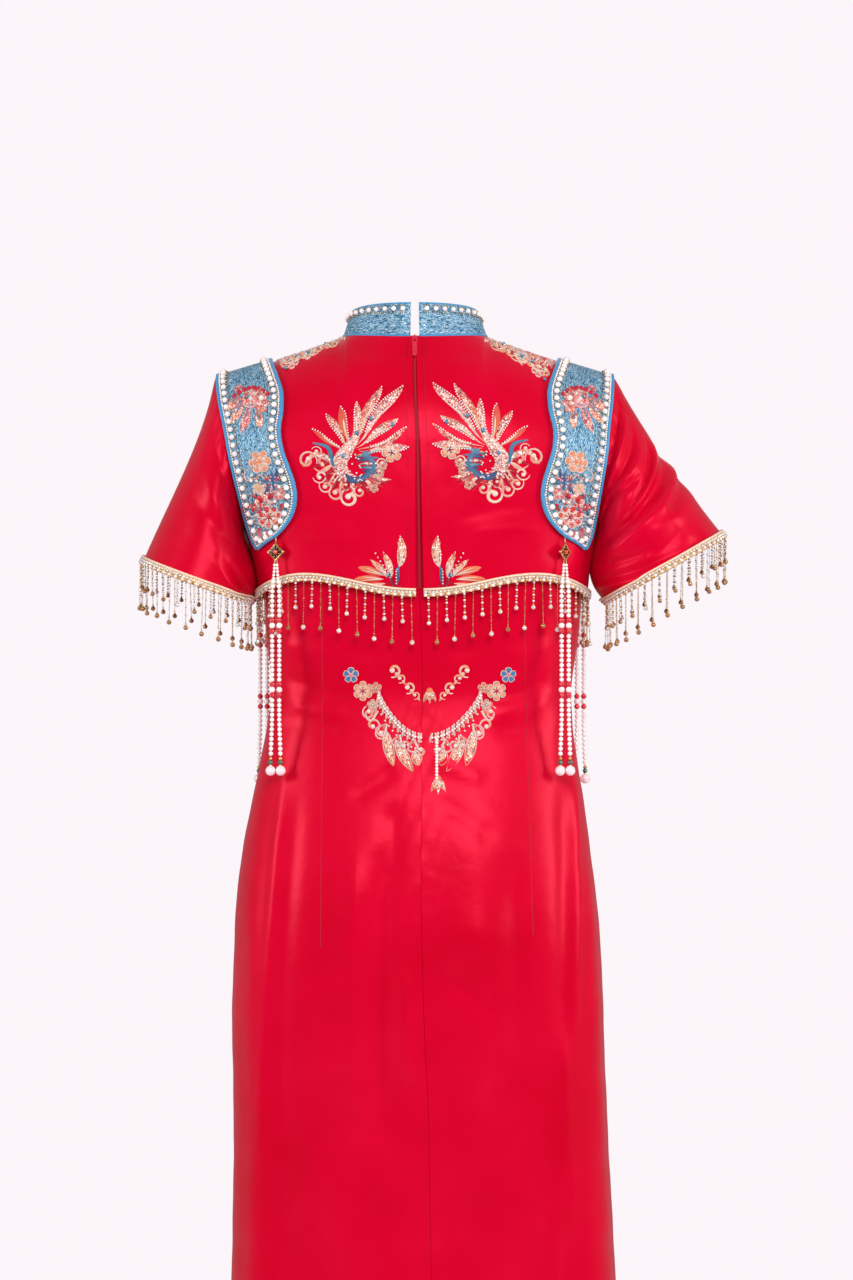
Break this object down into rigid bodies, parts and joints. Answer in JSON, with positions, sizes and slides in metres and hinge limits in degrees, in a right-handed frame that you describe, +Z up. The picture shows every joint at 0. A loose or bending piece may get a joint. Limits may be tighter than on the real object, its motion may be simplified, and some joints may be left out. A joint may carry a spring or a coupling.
{
  "type": "hanfu wedding dress",
  "caption": "Floor-length red satin wedding dress, worn hollow form, with cropped fringed top, flared sleeves, stand collar, shoulder lappets and bead tassels.",
  "frame": {"origin": "midway between the shoulder seams at the base of the neck, at the height of the neck points", "axes": "+Z up along the wearer, -Y the garment's front, +Y its back, +X the wearer's left"},
  "size_m": [0.6039, 0.2589, 1.3301],
  "materials": {
    "red_satin": "glossy woven satin",
    "blue_brocade": "blue and silver metallic brocade, embroidered",
    "gold_beadwork": "pale gold braid with pearl and crystal fringe",
    "pearl_strings": "lustrous imitation pearls with red, gold and green beads",
    "red_zip_metal": "red enamelled zip metal"
  },
  "bodies": {
    "garment": {"dress_back_left": "red_satin", "dress_back_right": "red_satin", "dress_front": "red_satin", "top_back_left": "red_satin", "top_back_right": "red_satin", "top_front": "red_satin", "sleeve_left": "red_satin", "sleeve_right": "red_satin", "stand_collar": "blue_brocade", "lappet_left": "blue_brocade", "lappet_right": "blue_brocade", "fringe_back_left": "gold_beadwork", "fringe_back_right": "gold_beadwork", "fringe_front": "gold_beadwork", "fringe_sleeve_left": "gold_beadwork", "fringe_sleeve_right": "gold_beadwork", "tassel_back_left": "pearl_strings", "tassel_back_right": "pearl_strings", "tassel_front_left": "pearl_strings", "tassel_front_right": "pearl_strings", "zip_chain": "red_zip_metal", "zip_slider": "red_zip_metal"},
    "zip_pull": {"zip_tab": "red_zip_metal"}
  },
  "joints": [
    {"name": "zip_pull_hinge", "type": "hinge", "parent": "garment", "child": "zip_pull", "pos_m": [0.00014, 0.0677, -0.00716], "axis": [1, 0, 0], "range_deg": [0, 140]}
  ]
}
